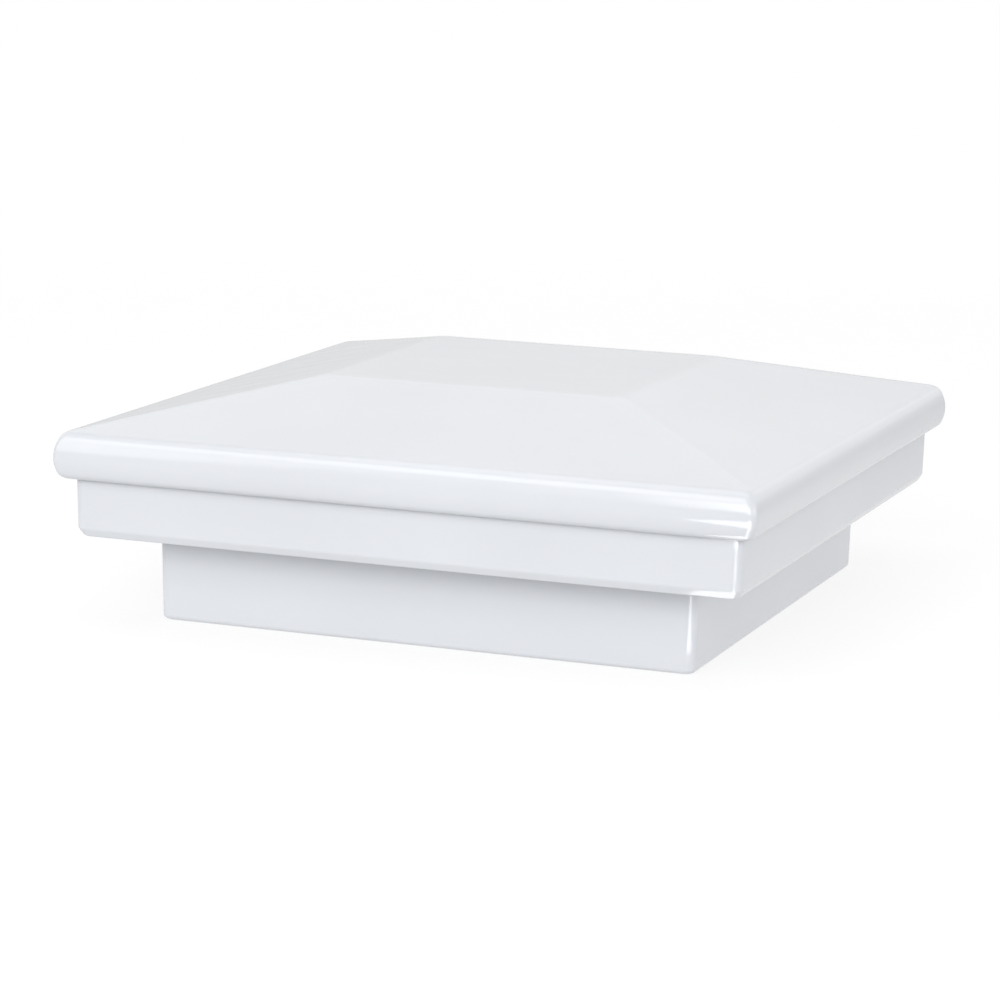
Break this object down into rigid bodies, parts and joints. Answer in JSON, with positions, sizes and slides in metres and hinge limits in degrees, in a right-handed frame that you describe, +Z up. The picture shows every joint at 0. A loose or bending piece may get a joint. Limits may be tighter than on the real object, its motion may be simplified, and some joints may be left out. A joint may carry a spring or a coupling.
{
  "type": "fence post cap",
  "caption": "Square three-tier cap for a 127 mm fence post: hipped crown with a rounded rim, plain band, and a collar that slips over the post.",
  "frame": {"origin": "centre of the seat inside the collar, where the post's top bears", "axes": "+Z up out of the cap's top, -Y towards the front, +X to the right"},
  "size_m": [0.1714, 0.1714, 0.0571],
  "materials": {
    "crown_white": "glossy",
    "band_white": "glossy",
    "collar_white": "glossy",
    "gasket_foam": "matt closed-cell foam",
    "pad_rubber": "matt rubber",
    "screw_steel": "stainless, satin",
    "clip_steel": "stainless spring strip, bright rolled"
  },
  "bodies": {
    "base": {"middle_band": "band_white", "post_collar": "collar_white", "collar_screws": "screw_steel", "crown_clip_front": "clip_steel", "crown_clip_right": "clip_steel", "crown_clip_back": "clip_steel", "crown_clip_left": "clip_steel", "grip_pad_front": "pad_rubber", "grip_pad_right": "pad_rubber", "grip_pad_back": "pad_rubber", "grip_pad_left": "pad_rubber"},
    "crown": {"crown": "crown_white", "crown_gasket": "gasket_foam"}
  },
  "joints": [
    {"name": "crown_lift", "type": "slide", "parent": "base", "child": "crown", "axis": [0, 0, 1], "range_m": [0, 0.05]}
  ]
}
